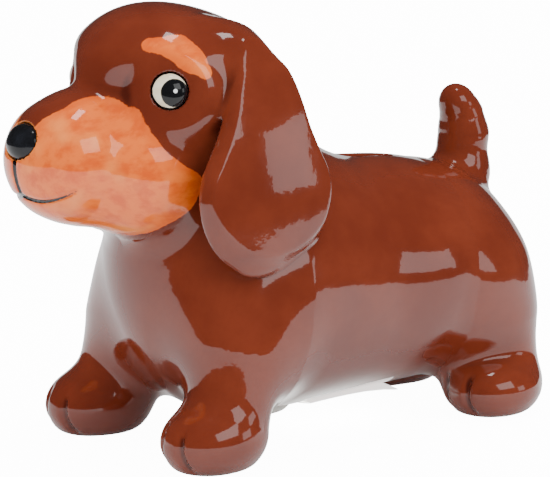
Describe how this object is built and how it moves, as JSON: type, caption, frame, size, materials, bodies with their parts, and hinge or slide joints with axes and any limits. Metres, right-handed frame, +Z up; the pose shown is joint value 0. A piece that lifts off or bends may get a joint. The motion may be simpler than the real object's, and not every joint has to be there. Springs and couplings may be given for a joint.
{
  "type": "figural animal coin bank",
  "caption": "Standing long-bodied puppy coin bank in glazed ceramic, with hanging ears, a coin slot in the back and a soft pull-out stopper in the belly.",
  "frame": {"origin": "on the ground under the middle of the object's bounding box", "axes": "+Z up; -Y is where the nose points, so +Y runs from nose to tail; +X is the dog's left side"},
  "size_m": [0.1034, 0.2199, 0.1605],
  "materials": {
    "chestnut_glaze": "clear high-gloss glaze over chestnut-brown brushed underglaze on white earthenware, with tan patches on the muzzle and brows",
    "black_glaze": "black high-gloss glaze",
    "label_paper": "blank white coated paper",
    "stopper_vinyl": "soft translucent off-white vinyl, satin"
  },
  "bodies": {
    "bank": {"torso_shell": "chestnut_glaze", "head_shell": "chestnut_glaze", "left_ear": "chestnut_glaze", "right_ear": "chestnut_glaze", "tail": "chestnut_glaze", "front_left_leg": "chestnut_glaze", "front_right_leg": "chestnut_glaze", "rear_left_leg": "chestnut_glaze", "rear_right_leg": "chestnut_glaze", "left_eye": "black_glaze", "right_eye": "black_glaze", "nose": "black_glaze", "belly_label": "label_paper"},
    "stopper": {"stopper": "stopper_vinyl"}
  },
  "joints": [
    {"name": "stopper_pull", "type": "slide", "parent": "bank", "child": "stopper", "axis": [0, 0, -1], "range_m": [0, 0.03]}
  ]
}
